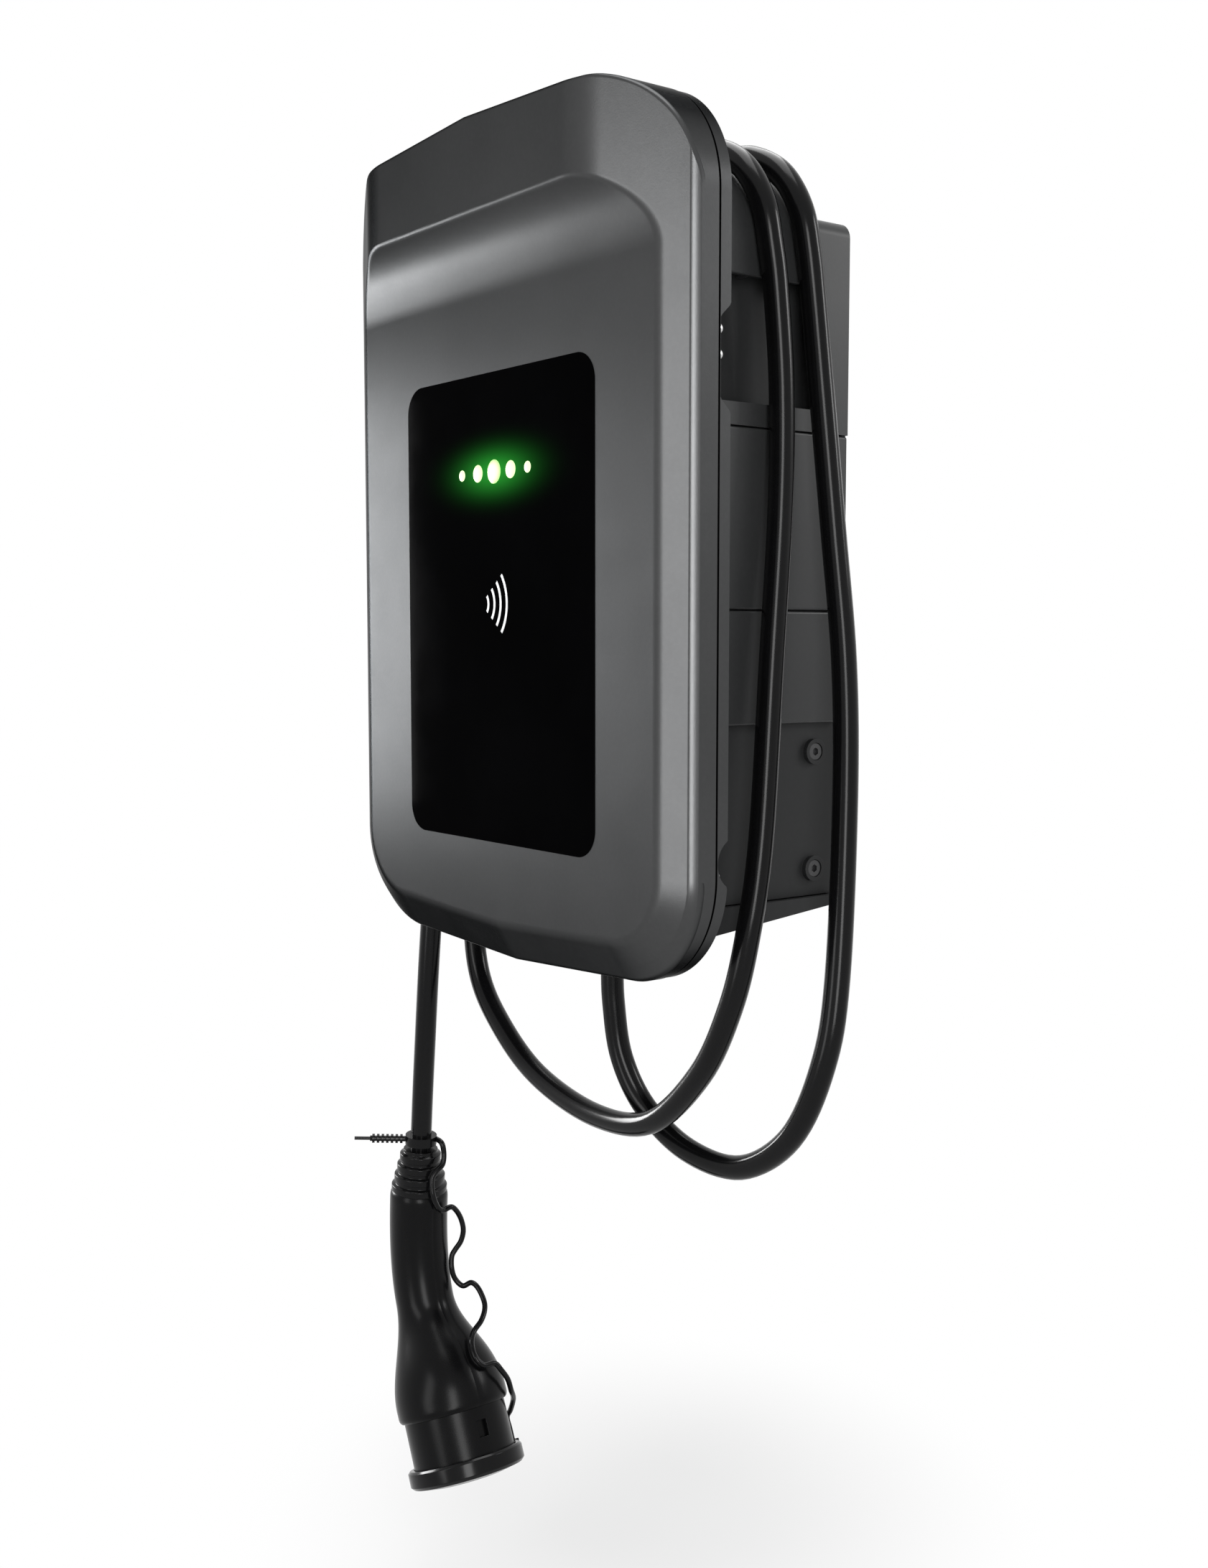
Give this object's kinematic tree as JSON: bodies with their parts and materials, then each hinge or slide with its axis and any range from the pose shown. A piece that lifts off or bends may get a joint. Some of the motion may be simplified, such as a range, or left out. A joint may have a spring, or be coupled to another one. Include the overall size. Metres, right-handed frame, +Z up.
{
  "type": "wall-mounted vehicle charging station",
  "caption": "Wall-mounted vehicle charging station with a pull-off bevelled front cover, a saddle for the looped cable and a hand plug with a tethered dust cap.",
  "frame": {"origin": "wall plane at half the height of the front cover, on the middle line", "axes": "+Z up, +Y into the wall, the front looks along -Y"},
  "size_m": [0.3425, 0.178, 0.817],
  "materials": {
    "cover_grey": "satin",
    "panel_black": "gloss",
    "light_green": "lit",
    "housing_grey": "satin",
    "chassis_grey": "matt",
    "steel": "zinc plated",
    "seal_black": "matt",
    "device_grey": "matt",
    "device_black": "matt",
    "board_green": "satin",
    "gland_black": "satin",
    "cable_black": "satin",
    "handle_black": "satin",
    "contact_silver": "plated"
  },
  "bodies": {
    "station": {"wall_plate": "steel", "upper_sleeve": "housing_grey", "middle_sleeve": "housing_grey", "lower_sleeve": "housing_grey", "chassis": "chassis_grey", "cable_saddle": "housing_grey", "bottom_tray": "chassis_grey", "side_screws": "steel", "lid_seal": "seal_black", "inner_lid": "chassis_grey", "lid_screws": "steel", "cover_catches": "steel", "din_rail": "steel", "contactor": "device_grey", "supply_terminals": "device_grey", "leakage_sensor": "device_black", "control_board": "board_green", "reader_board": "board_green", "cable_gland": "gland_black", "gland_cap": "gland_black", "gland_locknut": "gland_black", "supply_gland": "gland_black", "supply_locknut": "gland_black", "supply_plug": "gland_black", "charging_cable": "cable_black", "cable_boot": "cable_black", "handle_front": "handle_black", "handle_rear": "handle_black", "plug_shroud": "handle_black", "contact_carrier": "handle_black", "contact_sleeves": "contact_silver", "strap_collar": "cable_black", "cap_strap": "cable_black"},
    "cover": {"front_cover": "cover_grey", "display_panel": "panel_black", "light_guide": "light_green"},
    "cap": {"dust_cap": "cable_black"}
  },
  "joints": [
    {"name": "cover_pull", "type": "slide", "parent": "station", "child": "cover", "axis": [0, -1, 0], "range_m": [0, 0.06]},
    {"name": "cap_pull", "type": "slide", "parent": "station", "child": "cap", "axis": [0.4226, 0, -0.9063], "range_m": [0, 0.06]}
  ]
}
